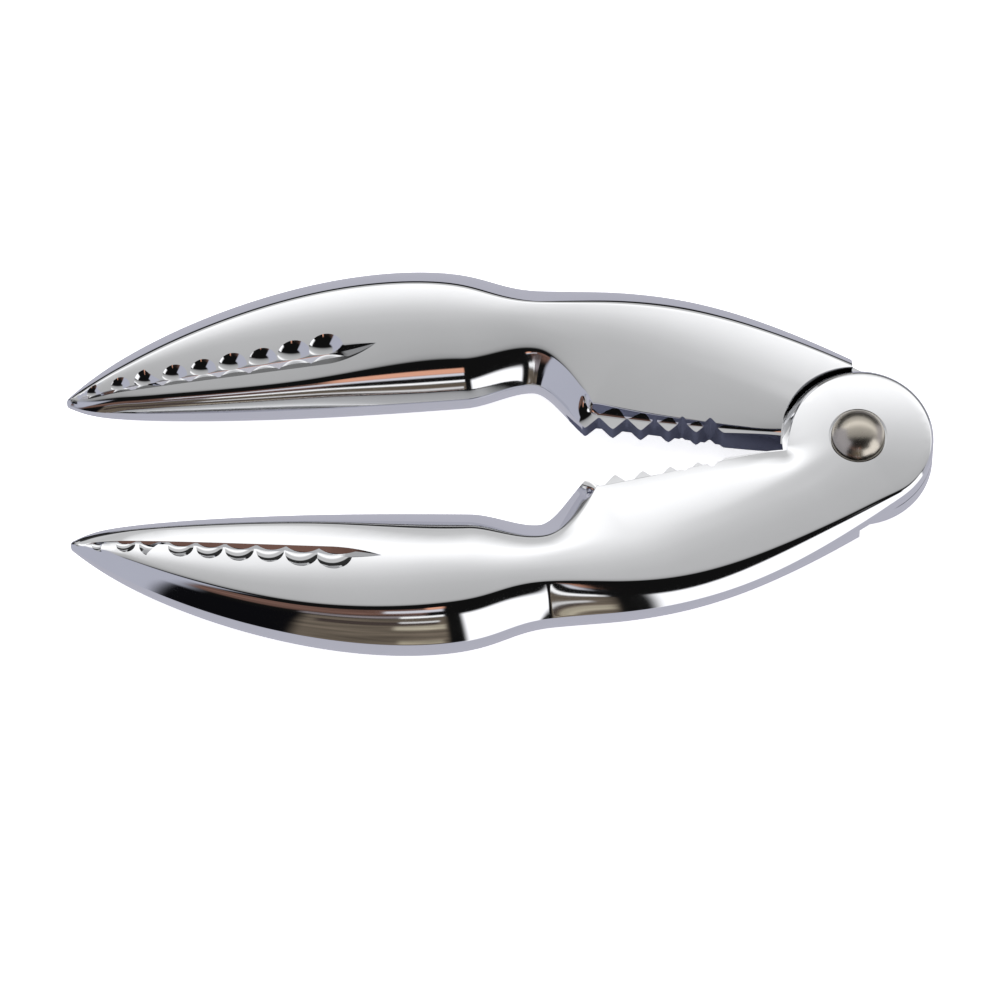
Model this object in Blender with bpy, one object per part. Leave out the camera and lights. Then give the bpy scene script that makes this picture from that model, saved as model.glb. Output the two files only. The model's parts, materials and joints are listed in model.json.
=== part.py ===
# Lobster cracker: two identical claw-shaped castings, one turned over on the other,
# half-lapped at a round hinge ear and held by one dome-headed rivet.
# It lies flat: +Z out of the front faces, claws towards -X, hinge at +X.
# Lengths below are millimetres and angles are degrees; the scene is in metres.

import math

import bmesh
import bpy
from mathutils import Matrix, Vector
from mathutils.geometry import delaunay_2d_cdt, interpolate_bezier

MM = 0.001

# Lengths along one arm, measured from the pivot towards the claw tip.
EAR_RADIUS = 16.1
STOP_LENGTH = 12.5
TOOTH_PITCH = 5.92
NOTCH_COUNT = 5
RAMP_LENGTH = 11.3
CLAW_LENGTH = 99.3

# Distances from the closing line, the line where the two arms meet when shut.
CLOSING_GAP = 0.3
STOP_SLOPE = 1.1
JAW_BACK = 33.0
NECK_BACK = 32.6
NECK_FRONT = 10.5
CLAW_BACK = 35.9
TIP_HEIGHT = 2.8
TIP_ROUND = 1.7
TIP_BLUNT = 0.4

# Where the claw's own landmarks lie, as shares of the claw's length from the neck.
CLAW_CREST_AT = 0.225
CLAW_THROAT_AT = 0.145
CLAW_TOUCH_AT = 0.845

# How far the curves of the outline run on in their own direction, as shares of their span.
TIP_RISE = 0.2
CREST_REACH = 0.35
WAIST_REACH = 0.45
JAW_REACH = 0.38
EAR_REACH = 0.4
NECK_ROUND = 4.0
RAMP_REACH = 0.35
THROAT_REACH = 0.3
THROAT_SLOPE = 0.13
BEAK_REACH = 0.5
BEAK_SLOPE = 0.4

# Along the arm: height of the face's edge over the middle, how much higher its outer edge
# is than its inner one, crown of the face, outer and inner shoulder widths, and outer and
# inner heights of the upright band.
TIP_SECTION = (1.0, 0.0, 0.1, 0.9, 0.9, 1.2, 1.2)
BEAK_SECTION = (5.2, 0.1, 0.5, 3.3, 2.0, 3.4, 3.2)
CLAW_SECTION = (8.8, 0.3, 1.1, 4.8, 4.2, 5.0, 4.6)
CREST_SECTION = (10.4, 0.5, 1.3, 5.5, 6.3, 5.2, 4.4)
NECK_SECTION = (9.0, 0.7, 0.8, 5.1, 5.2, 5.0, 4.4)
JAW_SECTION = (6.7, 1.2, 1.1, 3.8, 1.8, 5.0, 3.7)
HEEL_SECTION = (6.0, 0.6, 1.1, 3.0, 1.9, 4.6, 3.7)
EAR_SECTION = (4.7, 0.0, 1.2, 1.8, 1.8, 4.4, 4.4)
BEAK_AT = 0.88
CLAW_MIDDLE_AT = 0.5
SHOULDER_POWER = 1.9
SHOULDER_ROOM = 0.62
FACE_RING_INSET = 1.7
FACE_RING_ROOM = 0.8
FACE_RING_CROWN = 0.6

# Teeth: V notches across the jaw's edge, with a small flat left on each tip.
NOTCH_DEPTH = 2.2
NOTCH_WIDTH = 4.9

# Scalloped groove sunk in both faces of the claw. It runs straight, from its narrow end
# near the tip to a slim tail past the last scallop; places are shares of the claw.
GROOVE_TIP_AT = 0.975
GROOVE_DEEP_AT = 0.45
GROOVE_TAIL_AT = 0.337
GROOVE_DEPTH = 1.9
GROOVE_TIP_DEPTH = 0.6
GROOVE_TAIL_LIFT = 0.2
GROOVE_CLEAR = 1.5
SCALLOP_SLOPE = 1.3
SCALLOP_COUNT = 9
SCALLOP_STEPS = 6
TAIL_STEPS = 4

# On the front face and on the back face: height of the groove's bottom line at its tip and
# at its tail, and the slopes of its plain inner side and of its outer wall at the cusps.
FRONT_GROOVE = (3.2, 15.4, 1.35, 0.4)
BACK_GROOVE = (3.7, 17.2, 0.85, 0.6)

# Hinge.
RUNNING_GAP = 0.3
HORN_ANGLE = 96.0
EAR_TANGENT_ANGLE = 62.0
RIVET_SHANK_RADIUS = 2.5
RIVET_HEAD_RADIUS = 5.75
RIVET_HEAD_HEIGHT = 5.4
RIVET_SEAT = 5.35
SPOTFACE_MARGIN = 0.5
TAIL_FLAT_SHARE = 0.45

# Half the angle between the arms as the cracker lies open at rest.
REST_HALF_ANGLE = 4.75

# Smoothness of the built shapes.
CURVE_STEPS = 14
EAR_STEPS = 36
SHOULDER_STEPS = 5
TURN_STEPS = 48
DOME_STEPS = 10
TAIL_DOME_STEPS = 7
FACE_POINTS = 22

TEETH_START = EAR_RADIUS + STOP_LENGTH
TEETH_END = TEETH_START + NOTCH_COUNT * TOOTH_PITCH
NECK_AT = TEETH_END + RAMP_LENGTH
ARM_REACH = NECK_AT + CLAW_LENGTH


def clear_scene():
    for obj in list(bpy.data.objects):
        bpy.data.objects.remove(obj)


def metal(name, colour, roughness):
    material = bpy.data.materials.new(name)
    material.use_nodes = True
    shader = material.node_tree.nodes["Principled BSDF"]
    shader.inputs["Base Color"].default_value = (*colour, 1.0)
    shader.inputs["Metallic"].default_value = 1.0
    shader.inputs["Roughness"].default_value = roughness
    return material


def claw_x(share):
    """x of a place on the claw, given as its share of the claw's length from the neck."""
    return -(NECK_AT + share * CLAW_LENGTH)


def bezier(start, start_handle, end_handle, end, steps):
    points = interpolate_bezier(start, start + start_handle, end + end_handle, end, steps + 1)
    return [point.to_2d() for point in points][:-1]


def vec(x, y):
    return Vector((x, y, 0.0))


def tooth_line(distance):
    """Height of the tooth tips over the closing line, at a distance from the pivot."""
    return CLOSING_GAP + math.tan(math.radians(STOP_SLOPE)) * (distance - EAR_RADIUS)


def back_edge():
    """Outline along the arm's back, from the blunt tip to where it meets the round ear."""
    tip = vec(-ARM_REACH + TIP_BLUNT, TIP_HEIGHT + TIP_ROUND / 2)
    crest = vec(claw_x(CLAW_CREST_AT), CLAW_BACK)
    neck = vec(-NECK_AT, NECK_BACK)
    jaw = vec(-TEETH_END + 0.7 * TOOTH_PITCH, JAW_BACK)
    tangent = math.radians(EAR_TANGENT_ANGLE)
    ear = vec(EAR_RADIUS * math.cos(tangent), EAR_RADIUS * math.sin(tangent))
    along_ear = vec(-math.sin(tangent), math.cos(tangent))
    claw = crest.x - tip.x
    waist = neck.x - crest.x
    jaw_run = ear.x - jaw.x
    rise = vec(TIP_RISE, TIP_RISE) * claw
    level = vec(WAIST_REACH, 0) * waist
    onto_ear = along_ear * EAR_REACH * jaw_run
    points = bezier(tip, rise, vec(-CREST_REACH, 0) * claw, crest, CURVE_STEPS)
    points += bezier(crest, level, -level, neck, CURVE_STEPS // 2)
    points += bezier(neck, vec(NECK_ROUND, 0), vec(-NECK_ROUND, 0), jaw, CURVE_STEPS // 4)
    return points + bezier(jaw, vec(JAW_REACH, 0) * jaw_run, onto_ear, ear, CURVE_STEPS)


def ear_edge():
    """Outline round the hinge ear, from the arm's back to the closing line."""
    first = math.radians(EAR_TANGENT_ANGLE)
    sweep = math.pi + first
    angles = [first - sweep * step / EAR_STEPS for step in range(EAR_STEPS + 1)]
    return [Vector((EAR_RADIUS * math.cos(a), EAR_RADIUS * math.sin(a))) for a in angles]


def front_edge():
    """Outline along the closing line: stop, tooth tips, ramp, neck and the claw's inner edge."""
    stop = vec(-EAR_RADIUS, tooth_line(EAR_RADIUS))
    first_tooth = vec(-TEETH_END, tooth_line(TEETH_END))
    neck = vec(-NECK_AT, NECK_FRONT)
    throat = vec(claw_x(CLAW_THROAT_AT), 0.6 * NECK_FRONT)
    touch = vec(claw_x(CLAW_TOUCH_AT), CLOSING_GAP / 2)
    tip = vec(-ARM_REACH + TIP_BLUNT, TIP_HEIGHT - TIP_ROUND / 2)
    back_tip = vec(tip.x, TIP_HEIGHT + TIP_ROUND / 2)
    straight = 2 * NOTCH_COUNT
    points = [stop.lerp(first_tooth, step / straight).to_2d() for step in range(straight)]
    onto_neck = vec(THROAT_REACH, 0) * RAMP_LENGTH
    ramp = (neck - first_tooth) * RAMP_REACH
    points += bezier(first_tooth, ramp, onto_neck, neck, CURVE_STEPS // 2)
    fall = vec(THROAT_REACH, THROAT_REACH * THROAT_SLOPE) * (neck.x - throat.x)
    off_neck = vec(-THROAT_REACH, 0) * (neck.x - throat.x)
    points += bezier(neck, off_neck, fall, throat, CURVE_STEPS // 3)
    inner = vec(THROAT_REACH, THROAT_REACH * THROAT_SLOPE) * (throat.x - touch.x)
    level = vec(THROAT_REACH, 0) * (throat.x - touch.x)
    points += bezier(throat, -inner, level, touch, CURVE_STEPS)
    beak = touch.x - tip.x
    onto_tip = vec(THROAT_REACH, -THROAT_REACH * BEAK_SLOPE) * beak
    points += bezier(touch, vec(-BEAK_REACH, 0) * beak, onto_tip, tip, CURVE_STEPS // 3)
    blunt = vec(-TIP_BLUNT, 0)
    return points + bezier(tip, blunt, blunt, back_tip, 3)


def section_table():
    """The arm's sections in order along it, each with its x in front."""
    places = (
        (-ARM_REACH, TIP_SECTION),
        (claw_x(BEAK_AT), BEAK_SECTION),
        (claw_x(CLAW_MIDDLE_AT), CLAW_SECTION),
        (claw_x(CLAW_CREST_AT), CREST_SECTION),
        (-NECK_AT, NECK_SECTION),
        (-(TEETH_START + TEETH_END) / 2, JAW_SECTION),
        (-EAR_RADIUS, HEEL_SECTION),
        (EAR_RADIUS, EAR_SECTION),
    )
    return [(x, *sizes) for x, sizes in places]


def section_at(table, x):
    """Section at x: a smooth curve through the table's values, level at its two ends."""
    x = min(max(x, table[0][0]), table[-1][0])
    for index in range(len(table) - 1):
        low, high = table[index], table[index + 1]
        if x <= high[0]:
            break
    span = high[0] - low[0]
    share = (x - low[0]) / span
    before = table[max(index - 1, 0)]
    after = table[min(index + 2, len(table) - 1)]
    values = []
    for part in range(1, len(low)):
        slope_in = (high[part] - before[part]) / (high[0] - before[0]) * span
        slope_out = (after[part] - low[part]) / (after[0] - low[0]) * span
        values.append(
            low[part] * (2 * share**3 - 3 * share**2 + 1)
            + slope_in * (share**3 - 2 * share**2 + share)
            + high[part] * (3 * share**2 - 2 * share**3)
            + slope_out * (share**3 - share**2)
        )
    return values


def spine_point(point, outline_back, outline_front):
    """The point on the arm's middle line that a point of the outline looks towards."""
    if point.length < EAR_RADIUS + 0.01 or point.x > 0:
        return Vector((0.0, 0.0))
    x = max(point.x, -ARM_REACH + 2.6 * TIP_HEIGHT)
    middle = (height_at(outline_back, x) + height_at(outline_front, x)) / 2
    into_ear = min(max(1 + x / TEETH_START, 0), 1)
    return Vector((x, middle * (1 - into_ear**2)))


def height_at(edge, x):
    """Height of an edge at x, read along its straight pieces."""
    for start, end in zip(edge, edge[1:]):
        if min(start.x, end.x) <= x <= max(start.x, end.x) and start.x != end.x:
            return start.y + (end.y - start.y) * (x - start.x) / (end.x - start.x)
    return min(edge, key=lambda point: abs(point.x - x)).y


def arm_mesh():
    """One arm before it is cut: a closed loft of rings round the outline, front and back alike."""
    back, ear, front = back_edge(), ear_edge(), front_edge()
    outline = back + ear + front
    round_ear = [1 - step / len(ear) for step in range(len(ear))]
    outwards = [1.0] * len(back) + round_ear + [0.0] * len(front)
    table = section_table()
    front_line = [ear[-1]] + front
    targets = [spine_point(point, back, front_line) for point in outline]
    mesh = bmesh.new()

    def ring(inset, lift, side):
        """One ring: inset from the outline, with its height as a share of the shoulder."""
        vertices = []
        for point, target, outer in zip(outline, targets, outwards):
            half, lean, crown, *sides = section_at(table, point.x)
            outer_width, inner_width, outer_band, inner_band = sides
            band = inner_band + (outer_band - inner_band) * outer
            width = inner_width + (outer_width - inner_width) * outer
            room = (target - point).length
            step = min(width, SHOULDER_ROOM * room) * inset
            if inset > 1:
                step = min(width * inset, FACE_RING_ROOM * room)
            place = point + (target - point).normalized() * step
            edge = half + lean * (outer - 0.5)
            z = band / 2 + (edge - band / 2) * min(lift, 1)
            if lift > 1:
                z = (edge + half) / 2 + crown * (lift - 1)
            vertices.append(mesh.verts.new((place.x * MM, place.y * MM, side * z * MM)))
        return vertices

    def bridge(lower, upper, side):
        count = len(lower)
        for index in range(count):
            after = (index + 1) % count
            corners = [lower[index], lower[after], upper[after], upper[index]]
            mesh.faces.new(corners if side > 0 else corners[::-1])

    bands = {}
    for side in (1, -1):
        shares = [step / SHOULDER_STEPS for step in range(SHOULDER_STEPS + 1)]
        rings = [ring(share, 1 - (1 - share) ** SHOULDER_POWER, side) for share in shares]
        rings.append(ring(FACE_RING_INSET, 1 + FACE_RING_CROWN, side))
        for lower, upper in zip(rings, rings[1:]):
            bridge(lower, upper, side)
        bands[side] = rings[0]
        fill_face(mesh, rings[-1], table, side)
    bridge(bands[-1], bands[1], 1)
    bmesh.ops.recalc_face_normals(mesh, faces=mesh.faces)
    data = bpy.data.meshes.new("arm_casting")
    mesh.to_mesh(data)
    mesh.free()
    return data


def fill_face(mesh, rim, table, side):
    """Closes the face inside its last ring, over points along the middle of the arm."""
    flat = [vertex.co.to_2d() / MM for vertex in rim]
    count = len(flat)
    middle = []
    for step in range(1, FACE_POINTS):
        x = -ARM_REACH * (1 - step / FACE_POINTS) + 2
        inside = [point.y for point in flat if abs(point.x - x) < 4]
        if len(inside) > 1 and max(inside) - min(inside) > 5:
            middle.append(Vector((x, (max(inside) + min(inside)) / 2)))
    edges = [(index, (index + 1) % count) for index in range(count)]
    found = delaunay_2d_cdt(flat + middle, edges, [], 1, 1e-6)
    vertices = list(rim)
    for point in found[0][count:]:
        half, _, crown, *_ = section_at(table, point.x)
        vertices.append(mesh.verts.new((point.x * MM, point.y * MM, side * (half + crown) * MM)))
    for corners in found[2]:
        mesh.faces.new([vertices[index] for index in corners])


def prism(name, points, low, high):
    """An upright prism over a flat outline, kept out of sight as a cutter."""
    mesh = bmesh.new()
    base = [mesh.verts.new((x * MM, y * MM, low * MM)) for x, y in points]
    face = mesh.faces.new(base)
    grown = bmesh.ops.extrude_face_region(mesh, geom=[face])
    top = [item for item in grown["geom"] if isinstance(item, bmesh.types.BMVert)]
    bmesh.ops.translate(mesh, verts=top, vec=(0, 0, (high - low) * MM))
    bmesh.ops.recalc_face_normals(mesh, faces=mesh.faces)
    return cutter(name, mesh)


def cutter(name, mesh):
    data = bpy.data.meshes.new(name)
    mesh.to_mesh(data)
    mesh.free()
    obj = bpy.data.objects.new(name, data)
    bpy.context.scene.collection.objects.link(obj)
    obj.hide_render = True
    obj.display_type = "WIRE"
    return obj


def recess_cutter():
    """Takes away half the arm's thickness where the other arm's ear lies, up to a blunt horn."""
    radius = EAR_RADIUS + RUNNING_GAP
    far = 3 * EAR_RADIUS
    horn = math.radians(HORN_ANGLE)
    angles = [math.pi - (math.pi - horn) * step / EAR_STEPS for step in range(EAR_STEPS + 1)]
    points = [(radius * math.cos(a), radius * math.sin(a)) for a in angles]
    points.append((far * math.cos(horn), far * math.sin(horn)))
    points += [(far, far), (far, -far), (-radius, -far)]
    return prism("recess_cutter", points, -RUNNING_GAP / 2, far)


def shank_cutter():
    radius = RIVET_SHANK_RADIUS + RUNNING_GAP
    angles = [math.tau * step / TURN_STEPS for step in range(TURN_STEPS)]
    points = [(radius * math.cos(a), radius * math.sin(a)) for a in angles]
    return prism("shank_cutter", points, -EAR_RADIUS, EAR_RADIUS)


def spotface_cutter():
    """Flat seat for the rivet's head on the outer face of the ear."""
    radius = RIVET_HEAD_RADIUS + SPOTFACE_MARGIN
    angles = [math.tau * step / TURN_STEPS for step in range(TURN_STEPS)]
    points = [(radius * math.cos(a), radius * math.sin(a)) for a in angles]
    return prism("spotface_cutter", points, -2 * EAR_RADIUS, -RIVET_SEAT)


def groove_cutter(name, side, sizes):
    """A V-shaped groove along the claw's face, its outer wall bitten into scallops."""
    tip_height, tail_height, inner_slope, outer_slope = sizes
    table = section_table()
    start = Vector((claw_x(GROOVE_TIP_AT), tip_height))
    end = Vector((claw_x(GROOVE_TAIL_AT), tail_height))
    along = (end - start).normalized()
    outward = Vector((-along.y, along.x))
    deep = (GROOVE_TIP_AT - GROOVE_DEEP_AT) / (GROOVE_TIP_AT - GROOVE_TAIL_AT)
    bitten = SCALLOP_COUNT * SCALLOP_STEPS
    shares = [deep * step / bitten for step in range(bitten + 1)]
    shares += [deep + (1 - deep) * step / TAIL_STEPS for step in range(1, TAIL_STEPS + 1)]
    mesh = bmesh.new()
    rows = []
    for index, share in enumerate(shares):
        point = start.lerp(end, share)
        half, _, crown, *_ = section_at(table, point.x)
        surface = half + crown
        grown = min(share / deep, 1)
        left = max(share - deep, 0) / (1 - deep)
        full = GROOVE_TIP_DEPTH + (GROOVE_DEPTH - GROOVE_TIP_DEPTH) * grown
        depth = full * (1 - left) - GROOVE_TAIL_LIFT * left
        phase = (index % SCALLOP_STEPS) / SCALLOP_STEPS if index <= bitten else 0
        bite = math.sqrt(1 - (2 * phase - 1) ** 2)
        wall = depth + GROOVE_CLEAR
        inner = point - outward * inner_slope * wall
        outer = point + outward * (outer_slope + SCALLOP_SLOPE * bite) * wall
        top = side * (surface + GROOVE_CLEAR)
        bottom = side * (surface - depth)
        corners = ((inner, top), (point, bottom), (outer, top))
        rows.append([mesh.verts.new((p.x * MM, p.y * MM, z * MM)) for p, z in corners])
    for before, after in zip(rows, rows[1:]):
        for index in range(3):
            follow = (index + 1) % 3
            mesh.faces.new((before[index], before[follow], after[follow], after[index]))
    mesh.faces.new(rows[0])
    mesh.faces.new(rows[-1])
    bmesh.ops.recalc_face_normals(mesh, faces=mesh.faces)
    return cutter(name, mesh)


def notch_cutters():
    cutters = []
    for index in range(NOTCH_COUNT):
        distance = TEETH_START + (index + 0.5) * TOOTH_PITCH
        line = tooth_line(distance)
        below = line - NOTCH_DEPTH
        points = [
            (-distance, line + NOTCH_DEPTH),
            (-distance - NOTCH_WIDTH, below),
            (-distance + NOTCH_WIDTH, below),
        ]
        cutters.append(prism(f"notch_cutter_{index}", points, -EAR_RADIUS, EAR_RADIUS))
    return cutters


def cast_arm(name, material):
    """One casting as it leaves the mould, before its hinge, teeth and grooves are cut."""
    arm = bpy.data.objects.new(name, arm_mesh())
    bpy.context.scene.collection.objects.link(arm)
    arm.data.materials.append(material)
    return arm


def cut(obj, cutters):
    for tool in cutters:
        modifier = obj.modifiers.new(tool.name, "BOOLEAN")
        modifier.operation = "DIFFERENCE"
        modifier.object = tool


def rivet(material, tail):
    """Domed head, shank and flattened tail, turned in one profile about the pivot."""
    head_base = RIVET_SEAT + RUNNING_GAP
    profile = [(0.0, head_base + RIVET_HEAD_HEIGHT)]
    for step in range(1, DOME_STEPS + 1):
        a = math.radians(90 * step / DOME_STEPS)
        profile.append((RIVET_HEAD_RADIUS * math.sin(a), head_base + RIVET_HEAD_HEIGHT * math.cos(a)))
    profile += [(RIVET_SHANK_RADIUS, head_base), (RIVET_SHANK_RADIUS, -head_base)]
    flat = math.asin(TAIL_FLAT_SHARE)
    depth = (tail - head_base) / math.cos(flat)
    for step in range(TAIL_DOME_STEPS + 1):
        a = math.pi / 2 - (math.pi / 2 - flat) * step / TAIL_DOME_STEPS
        profile.append((RIVET_HEAD_RADIUS * math.sin(a), -head_base - depth * math.cos(a)))
    profile.append((0.0, -tail))
    mesh = bmesh.new()
    vertices = [mesh.verts.new((x * MM, 0, z * MM)) for x, z in profile]
    edges = [mesh.edges.new(pair) for pair in zip(vertices, vertices[1:])]
    bmesh.ops.spin(
        mesh, geom=vertices + edges, axis=(0, 0, 1), cent=(0, 0, 0), steps=TURN_STEPS, angle=math.tau
    )
    bmesh.ops.remove_doubles(mesh, verts=mesh.verts, dist=0.001 * MM)
    bmesh.ops.recalc_face_normals(mesh, faces=mesh.faces)
    data = bpy.data.meshes.new("pivot_rivet")
    mesh.to_mesh(data)
    mesh.free()
    obj = bpy.data.objects.new("pivot_rivet", data)
    bpy.context.scene.collection.objects.link(obj)
    obj.data.materials.append(material)
    return obj


def main():
    clear_scene()
    chrome = metal("chrome_plate", (0.83, 0.84, 0.86), 0.06)
    nickel = metal("nickel_rivet", (0.70, 0.66, 0.58), 0.16)
    upper = cast_arm("upper_arm", chrome)
    lower = cast_arm("lower_arm", chrome)
    tools = [recess_cutter(), shank_cutter(), spotface_cutter()] + notch_cutters()
    tools.append(groove_cutter("front_groove_cutter", 1, FRONT_GROOVE))
    tools.append(groove_cutter("back_groove_cutter", -1, BACK_GROOVE))
    reach = max(abs(vertex.co.z) for vertex in upper.data.vertices) / MM
    pin = rivet(nickel, reach)

    # The upper arm opens about the pivot; the lower arm is the same casting turned over.
    half = math.radians(REST_HALF_ANGLE)
    far_left = min((Matrix.Rotation(-half, 3, "Z") @ vertex.co).x for vertex in upper.data.vertices)
    pivot = Vector((-(far_left + EAR_RADIUS * MM) / 2, 0, reach * MM))
    frames = {}
    for name, turn in (
        ("upper_pivot", Matrix.Rotation(-half, 4, "Z")),
        ("lower_pivot", Matrix.Rotation(half, 4, "Z") @ Matrix.Rotation(math.pi, 4, "X")),
    ):
        frame = bpy.data.objects.new(name, None)
        bpy.context.scene.collection.objects.link(frame)
        frame.matrix_world = Matrix.Translation(pivot) @ turn
        frames[name] = frame
    upper.parent = frames["upper_pivot"]
    lower.parent = frames["lower_pivot"]
    pin.location = pivot
    for arm, frame in ((upper, "upper_pivot"), (lower, "lower_pivot")):
        own_tools = tools if arm is upper else [copy_of(tool) for tool in tools]
        for tool in own_tools:
            tool.parent = frames[frame]
        cut(arm, own_tools)
        arm.data.shade_smooth()
        arm.data.set_sharp_from_angle(angle=math.radians(28))
    pin.data.shade_smooth()
    pin.data.set_sharp_from_angle(angle=math.radians(40))


def copy_of(tool):
    twin = tool.copy()
    twin.name = tool.name.replace("cutter", "twin_cutter")
    bpy.context.scene.collection.objects.link(twin)
    return twin


main()
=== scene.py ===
import json
import math

import bmesh
import bpy
import numpy as np
from mathutils import Matrix, Vector
from mathutils.geometry import delaunay_2d_cdt, interpolate_bezier


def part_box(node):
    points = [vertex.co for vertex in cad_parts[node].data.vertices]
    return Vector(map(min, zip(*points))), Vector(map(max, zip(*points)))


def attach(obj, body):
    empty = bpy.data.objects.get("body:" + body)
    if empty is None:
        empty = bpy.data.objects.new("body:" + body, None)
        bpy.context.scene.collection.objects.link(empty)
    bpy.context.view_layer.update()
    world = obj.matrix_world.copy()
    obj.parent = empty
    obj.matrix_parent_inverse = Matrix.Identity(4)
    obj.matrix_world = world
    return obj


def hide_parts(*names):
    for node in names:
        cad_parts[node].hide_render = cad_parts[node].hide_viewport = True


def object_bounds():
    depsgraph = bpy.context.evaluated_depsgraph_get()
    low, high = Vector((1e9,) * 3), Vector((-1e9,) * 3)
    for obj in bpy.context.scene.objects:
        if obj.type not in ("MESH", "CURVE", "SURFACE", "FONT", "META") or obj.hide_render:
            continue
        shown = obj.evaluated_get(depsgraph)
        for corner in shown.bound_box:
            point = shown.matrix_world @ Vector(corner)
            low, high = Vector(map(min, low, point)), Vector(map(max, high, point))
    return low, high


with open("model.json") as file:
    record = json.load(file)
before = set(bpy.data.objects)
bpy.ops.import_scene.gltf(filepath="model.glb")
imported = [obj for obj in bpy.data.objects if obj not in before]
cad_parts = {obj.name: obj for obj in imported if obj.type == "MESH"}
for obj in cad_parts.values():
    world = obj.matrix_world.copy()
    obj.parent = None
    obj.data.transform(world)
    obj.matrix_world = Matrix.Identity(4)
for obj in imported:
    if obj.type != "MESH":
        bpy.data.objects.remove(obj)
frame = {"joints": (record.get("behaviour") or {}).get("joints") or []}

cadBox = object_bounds()
mm = 0.001

# The two castings turn about one upright axis, through the rivet.
hinge = frame["joints"][0]
rivetLow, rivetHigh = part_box("pivot_rivet")
armLow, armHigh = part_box("upper_arm")
pivot = Vector((hinge["pos_m"][0], hinge["pos_m"][1], (armLow.z + armHigh.z) / 2))


# ---- studio ----

studio = {
    "azimuth": -2.13,  # degrees round the cracker
    "elevation": 66.0,  # degrees above the table
    "lens": 500.0,
    "frameWidth": 0.2130,  # metres of table across the frame
    "aim": (-0.0763, -0.0095, 0.0),  # from the pivot
    "floorReach": 4.0,
    "floorColour": (0.93, 0.93, 0.94),
    "floorGlow": 0.8,
    "paperRoughness": 0.9,
    # painted shade: the colour and corners of a dark strip that only the metal's reflections see,
    # standing in for the table's shadow between the jaws
    "shadedColour": (0.14, 0.15, 0.22),  # the table between the jaws, as the metal sees it
    "shadedFrom": (-0.066, -0.012),  # from the pivot
    "shadedTo": (-0.014, 0.012),
    # name, place, size, power
    "lamps": (
        ("overheadSoftbox", (-0.15, 0.25, 1.1), 1.4, 9.0),
        ("frontFill", (0.3, -0.9, 0.8), 1.2, 3.6),
    ),
}


def makeCamera():
    data = bpy.data.cameras.new("studioCamera")
    data.lens = studio["lens"]
    data.clip_start = 0.01
    cam = bpy.data.objects.new("studioCamera", data)
    bpy.context.scene.collection.objects.link(cam)
    a, e = math.radians(studio["azimuth"]), math.radians(studio["elevation"])
    back = Vector((math.sin(a) * math.cos(e), -math.cos(a) * math.cos(e), math.sin(e)))
    distance = studio["frameWidth"] * studio["lens"] / data.sensor_width
    cam.location = pivot + Vector(studio["aim"]) + back * distance
    cam.rotation_mode = "QUATERNION"
    cam.rotation_quaternion = (-back).to_track_quat("-Z", "Y")
    bpy.context.scene.camera = cam


def areaLamp(name, place, size, power):
    data = bpy.data.lights.new(name, "AREA")
    data.shape = "DISK"
    data.size = size
    data.energy = power
    lamp = bpy.data.objects.new(name, data)
    bpy.context.scene.collection.objects.link(lamp)
    lamp.location = place
    lamp.rotation_mode = "QUATERNION"
    lamp.rotation_quaternion = (-Vector(place)).to_track_quat("-Z", "Y")
    lamp.visible_glossy = lamp.visible_camera = False


def link(tree, fromNode, fromSocket, toNode, toSocket):
    tree.links.new(fromNode.outputs[fromSocket], toNode.inputs[toSocket])


tent = {
    # degrees from the front horizon over the top to the back one, and the brightness there
    "arch": (
        (0, 0.006),
        (68, 0.006),
        (76, 0.30),
        (86, 0.44),
        (94, 0.48),
        (102, 0.51),
        (108, 0.55),
        (113, 0.63),
        (117, 0.75),
        (121, 0.92),
        (127, 1.18),
        (134, 1.28),
        (138, 1.0),
        (143, 0.64),
        (150, 0.58),
        (157, 0.64),
        (161, 0.58),
        (164, 0.03),
        (180, 0.03),
    ),
    # from and to degrees to the right, from and to degrees up, softness, colour
    "panels": (
        (-200, 200, -95, -14, 2.5, (0.49, 0.49, 0.56)),
        (-120, -38, -20, 47, 4.0, (0.47, 0.48, 0.56)),
        (-40, -19, -13, 13, 2.0, (0.004, 0.004, 0.005)),
        (-21, 7.5, -13, 14, 1.2, (0.16, 0.13, 0.10)),
        (-19, 5, 7, 10.5, 0.8, (0.06, 0.045, 0.04)),
        (-5, 7, 2.5, 6, 0.9, (0.48, 0.43, 0.33)),
        (-4, 6, -8, -5, 0.9, (0.40, 0.35, 0.26)),
        (-4, 5.5, 9, 10.5, 0.5, (0.75, 0.74, 0.74)),
        (-38, 2, 18, 28, 1.8, (0.17, 0.095, 0.075)),
        (-22, 2, 15, 17.5, 0.8, (0.26, 0.23, 0.24)),
        (-4, 7, 14.5, 16.5, 0.6, (1.1, 1.1, 1.1)),
        (-8, 7, 21, 24, 0.8, (0.70, 0.70, 0.76)),
        (2, 7.5, 24, 30, 1.2, (0.80, 0.40, 0.27)),
        (14, 78, -20, 15, 1.6, (1.25, 1.25, 1.27)),
        (46, 78, 12, 28, 2.5, (1.25, 1.25, 1.27)),
        (78, 125, -20, 12, 3.0, (0.50, 0.50, 0.56)),
    ),
}


def calc(tree, operation, *values):
    node = tree.nodes.new("ShaderNodeMath")
    node.operation = operation
    for slot, value in enumerate(values):
        if isinstance(value, (int, float)):
            node.inputs[slot].default_value = value
        else:
            tree.links.new(value, node.inputs[slot])
    return node.outputs["Value"]


def ease(tree, value, low, high):
    node = tree.nodes.new("ShaderNodeMapRange")
    node.interpolation_type = "SMOOTHSTEP"
    tree.links.new(value, node.inputs["Value"])
    node.inputs["From Min"].default_value = low
    node.inputs["From Max"].default_value = high
    return node.outputs["Result"]


def between(tree, value, low, high, soft):
    rising = ease(tree, value, low - soft, low + soft)
    falling = ease(tree, value, high - soft, high + soft)
    return calc(tree, "MULTIPLY", rising, calc(tree, "SUBTRACT", 1.0, falling))


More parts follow.
